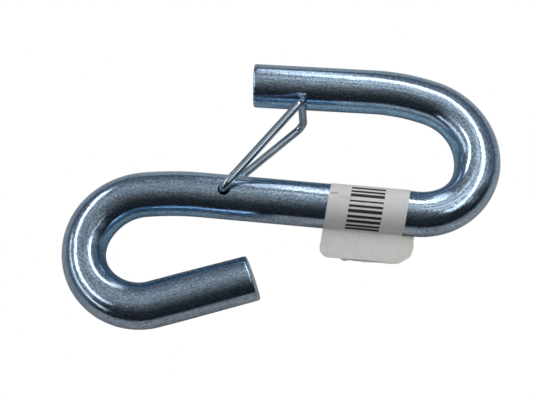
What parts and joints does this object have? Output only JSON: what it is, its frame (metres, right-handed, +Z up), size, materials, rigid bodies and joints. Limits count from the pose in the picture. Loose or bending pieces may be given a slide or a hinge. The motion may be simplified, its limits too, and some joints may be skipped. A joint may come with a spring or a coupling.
{
  "type": "safety chain hook",
  "caption": "S-shaped hook bent from round bar, with a sprung wire latch across its long hook and a folded paper stock label on its shank.",
  "frame": {"origin": "centre of the underside of the box round the whole object, with the hook lying flat", "axes": "+X along the shank, from the short hook to the long hook's bend; +Y towards the long hook's leg; +Z up, square to the plane that the bar is bent in"},
  "size_m": [0.1048, 0.0724, 0.0167],
  "materials": {
    "zinc_plate": "bright blue-white zinc plate over drawn bar, fine grain",
    "spring_wire": "bright drawn spring wire",
    "label_paper": "matt white self-adhesive paper"
  },
  "bodies": {
    "hook": {"hook_body": "zinc_plate", "stock_label": "label_paper"},
    "latch": {"latch_wire": "spring_wire"}
  },
  "joints": [
    {"name": "latch_pivot", "type": "hinge", "parent": "hook", "child": "latch", "pos_m": [-0.01428, -0.00108, 0.0085], "axis": [0, 0, -1], "range_deg": [0, 41], "stiffness_Nm_per_rad": 0.05, "springref_deg": -20.05}
  ]
}
